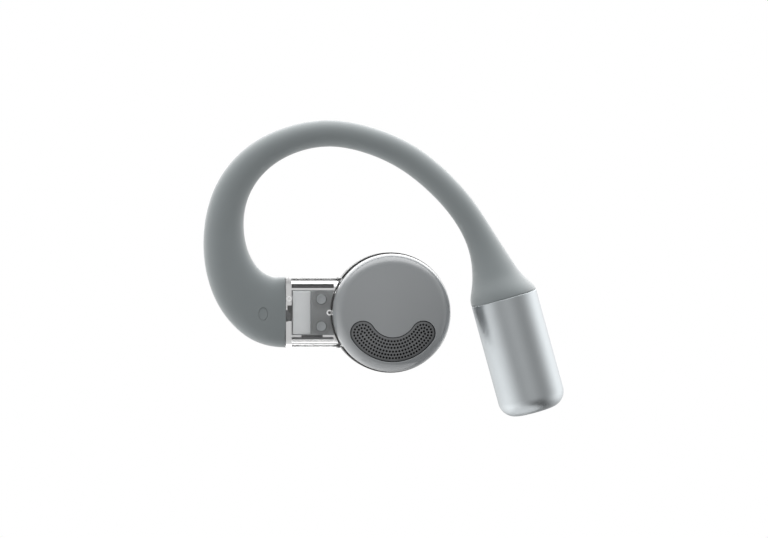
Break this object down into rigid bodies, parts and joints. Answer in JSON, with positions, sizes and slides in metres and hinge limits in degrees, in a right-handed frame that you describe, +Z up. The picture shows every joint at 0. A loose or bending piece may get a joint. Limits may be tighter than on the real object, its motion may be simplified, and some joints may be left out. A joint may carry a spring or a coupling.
{
  "type": "open-ear hook earphone",
  "caption": "Open-ear earphone for the right ear: round speaker pod with a crescent grille, clear neck with charging contacts, flexible silicone ear hook and cylindrical battery barrel.",
  "frame": {"origin": "where the arch of the hook rests on the ear, at the underside of its top", "axes": "+X from the neck towards the battery barrel, +Z up as worn, +Y away from the head"},
  "size_m": [0.0506, 0.0121, 0.0417],
  "materials": {
    "clear_plastic": "clear polished polycarbonate",
    "cover_gloss": "glossy lacquered grey",
    "grille_steel": "fine blasted dark steel",
    "cloth_black": "fine woven black cloth",
    "foam_black": "closed-cell black foam",
    "frame_plastic": "moulded grey",
    "plated_steel": "tin-plated",
    "magnet_nickel": "nickel-plated",
    "diaphragm_film": "thin dark film",
    "surround_rubber": "smooth black rubber",
    "copper": "enamelled copper",
    "board_black": "black solder mask",
    "chip_black": "moulded black epoxy",
    "deco_metal": "satin spun",
    "carrier_plastic": "moulded mid grey",
    "contact_metal": "plated, satin",
    "pin_steel": "bright",
    "antenna_black": "black film",
    "flex_grey": "grey flexible circuit",
    "silicone": "matte liquid silicone",
    "wire_metal": "drawn titanium alloy",
    "lead_insulation": "enamel-coated lead",
    "barrel_aluminium": "satin anodised",
    "cell_can": "nickel-plated can",
    "sleeve_film": "shrink film"
  },
  "bodies": {
    "root": {"clear_shell": "clear_plastic", "contact_lower": "contact_metal", "contact_seals": "surround_rubber", "contact_upper": "contact_metal", "deco_disc": "deco_metal", "driver_basket": "frame_plastic", "driver_magnet": "magnet_nickel", "driver_pole_plate": "plated_steel", "driver_surround": "surround_rubber", "driver_vent_cloth": "cloth_black", "driver_yoke": "plated_steel", "front_cover": "cover_gloss", "front_gasket": "foam_black", "grille_cloth": "cloth_black", "hook_leads": "lead_insulation", "hook_skin_front": "silicone", "inner_frame": "frame_plastic", "key_board": "board_black", "key_switch": "plated_steel", "locating_pins": "pin_steel", "main_board": "board_black", "memory_wire": "wire_metal", "microphone_cloths": "cloth_black", "neck_antenna": "antenna_black", "neck_carrier": "carrier_plastic", "neck_flex": "flex_grey", "noise_microphone": "plated_steel", "pod_seal": "foam_black", "radio_chip": "chip_black", "retention_magnet": "magnet_nickel", "root_core": "frame_plastic", "shield_can": "plated_steel", "speaker_grille": "grille_steel", "talk_microphone": "plated_steel", "touch_pad": "board_black"},
    "arch": {"hook_skin_arch": "silicone"},
    "tail": {"hook_skin_rear": "silicone", "tail_core": "frame_plastic", "barrel_shell": "barrel_aluminium", "barrel_seal": "surround_rubber", "battery_cell": "cell_can", "battery_sleeve": "sleeve_film", "cell_pad": "foam_black", "protection_board": "board_black", "cell_tabs": "plated_steel"},
    "key": {"key_cap": "silicone"},
    "diaphragm": {"driver_diaphragm": "diaphragm_film", "voice_coil": "copper"}
  },
  "joints": [
    {"name": "hook_open", "type": "hinge", "parent": "root", "child": "arch", "pos_m": [-0.0104, 0, -0.00185], "axis": [0, -1, 0], "range_deg": [-4, 22], "stiffness_Nm_per_rad": 0.08, "deforming": ["memory_wire", "hook_leads"]},
    {"name": "hook_sway", "type": "hinge", "parent": "arch", "child": "tail", "pos_m": [0.0055, -0.0001, 0.0009], "axis": [0.9563, 0, -0.2924], "range_deg": [-12, 12], "stiffness_Nm_per_rad": 0.06, "deforming": ["memory_wire", "hook_leads"]},
    {"name": "key_press", "type": "slide", "parent": "root", "child": "key", "axis": [0, 1, 0], "range_m": [0, 0.00025], "stiffness_N_per_m": 6000},
    {"name": "diaphragm_travel", "type": "slide", "parent": "root", "child": "diaphragm", "axis": [0, 1, 0], "range_m": [-0.0003, 0.0003], "stiffness_N_per_m": 600, "deforming": ["driver_surround"]}
  ]
}
